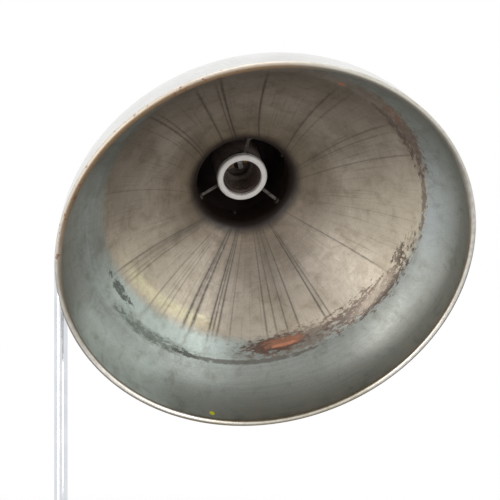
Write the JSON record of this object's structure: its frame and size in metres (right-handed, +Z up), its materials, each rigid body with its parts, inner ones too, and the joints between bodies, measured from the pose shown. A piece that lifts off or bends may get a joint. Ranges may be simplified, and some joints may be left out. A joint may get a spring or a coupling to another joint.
{
  "type": "jewellers lamp",
  "caption": "Bench lamp with a wide spun reflector shade on a swivel and tilt knuckle, a rising and swinging swan neck and a weighted round foot with a toggle switch.",
  "frame": {"origin": "centre of the felt's underside, on the post's axis", "axes": "+Z up the post, -Y to the front where the switch is, +X to the right"},
  "size_m": [0.4213, 0.4168, 0.5546],
  "materials": {
    "felt": "pressed felt",
    "plate": "plain sheet steel",
    "iron": "raw casting",
    "chrome": "polished plate",
    "shade_metal": "plated outside, tarnished inside",
    "steel": "plain steel",
    "brass": "turned brass",
    "bakelite": "moulded phenolic",
    "white_ring": "glazed white",
    "porcelain": "unglazed ceramic",
    "fibre": "vulcanised fibre",
    "flex": "rubber flex"
  },
  "bodies": {
    "base": {"felt_pad": "felt", "base_plate": "plate", "base_plate_screws": "steel", "base_weight": "iron", "base_cover": "chrome", "stem_socket": "chrome", "socket_washer": "steel", "socket_nut": "steel", "inlet_bush": "bakelite", "terminal_block": "porcelain", "terminal_screws": "brass", "switch_body": "bakelite", "switch_tags": "brass", "switch_bush": "chrome", "switch_ring": "chrome", "dolly_pin": "steel", "switch_leads": "flex", "post_tube": "chrome", "clamp_head": "chrome", "guide_bush": "fibre", "clamp_pad": "fibre"},
    "dolly": {"switch_dolly": "chrome"},
    "thumbscrew": {"clamp_screw": "chrome"},
    "rise": {"guide_piston": "brass"},
    "neck": {"foot_plug": "brass", "foot_clip": "steel", "neck_tube": "chrome", "neck_flex": "flex", "neck_ferrule": "chrome", "stop_screw": "steel"},
    "yoke": {"yoke": "chrome", "friction_washers": "fibre", "tilt_bolt": "steel"},
    "knob": {"tilt_knob": "bakelite"},
    "head": {"tongue": "chrome", "lock_nut": "brass", "neck_cap": "shade_metal", "cap_screws": "steel", "shade": "shade_metal", "spider": "steel", "spider_rivets": "steel", "holder_body": "bakelite", "shade_ring": "white_ring", "holder_insert": "porcelain", "screw_shell": "brass", "centre_contact": "brass", "contact_rivets": "brass", "lamp_terminals": "brass", "head_flex": "flex"}
  },
  "joints": [
    {"name": "switch_toggle", "type": "hinge", "parent": "base", "child": "dolly", "pos_m": [0, -0.04, 0.0362], "axis": [1, 0, 0], "range_deg": [0, 30]},
    {"name": "clamp_turn", "type": "hinge", "parent": "base", "child": "thumbscrew", "pos_m": [0, -0.012, 0.191], "axis": [0, -1, 0], "continuous": true},
    {"name": "post_rise", "type": "slide", "parent": "base", "child": "rise", "axis": [0, 0, 1], "range_m": [-0.03, 0.07]},
    {"name": "neck_swing", "type": "hinge", "parent": "rise", "child": "neck", "pos_m": [0, 0, 0.083], "axis": [0, 0, 1], "range_deg": [-160, 160]},
    {"name": "shade_roll", "type": "hinge", "parent": "neck", "child": "yoke", "pos_m": [0.12826, -0.05711, 0.53], "axis": [0.9135, -0.4067, 0], "range_deg": [-35, 120]},
    {"name": "knob_turn", "type": "hinge", "parent": "yoke", "child": "knob", "pos_m": [0.15028, -0.06691, 0.53], "axis": [-0.2437, -0.5474, 0.8006], "continuous": true},
    {"name": "shade_tilt", "type": "hinge", "parent": "yoke", "child": "head", "pos_m": [0.15028, -0.06691, 0.53], "axis": [0.2437, 0.5474, -0.8006], "range_deg": [-45, 28]}
  ]
}
